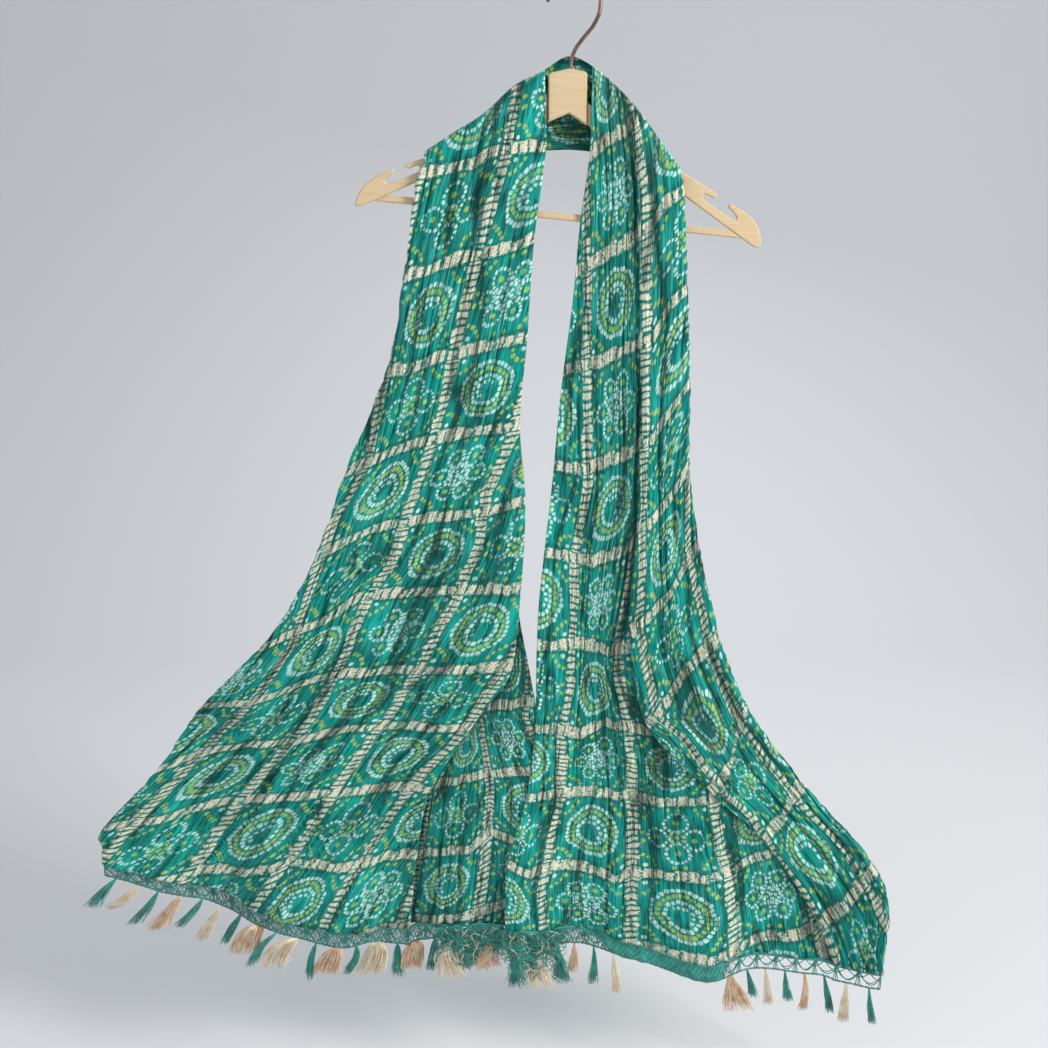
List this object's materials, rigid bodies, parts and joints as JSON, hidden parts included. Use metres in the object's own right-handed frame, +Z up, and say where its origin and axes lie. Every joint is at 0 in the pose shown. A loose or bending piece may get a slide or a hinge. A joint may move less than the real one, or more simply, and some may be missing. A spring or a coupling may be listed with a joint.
{
  "type": "dupatta stole draped on a clothes hanger",
  "caption": "Crushed bandhani silk stole with tasselled net ends, draped round a notched clothes hanger that hangs by its wire hook.",
  "frame": {"origin": "inner top of the hook, where a rail or nail carries it", "axes": "+Z up, +X towards the hanger's right arm as seen from the front, the cloth's front faces -Y"},
  "size_m": [0.952, 0.0586, 1.2143],
  "materials": {
    "stole_silk": "teal crushed silk with a soft sheen, bandhani dots in white and yellow-green and cream bars",
    "net_trim": "teal knotted thread net with teal and cream silk tassels",
    "hanger_wood": "pale smooth beech with a thin satin lacquer",
    "hook_wire": "dulled bronze-brown steel wire"
  },
  "bodies": {
    "root": {"left_fall": "stole_silk", "right_fall": "stole_silk", "back_neck": "stole_silk", "left_trim": "net_trim", "right_trim": "net_trim", "hanger_left_arm": "hanger_wood", "hanger_right_arm": "hanger_wood", "hanger_block": "hanger_wood", "hanger_crossbar": "hanger_wood", "hanger_hook": "hook_wire"}
  },
  "joints": []
}
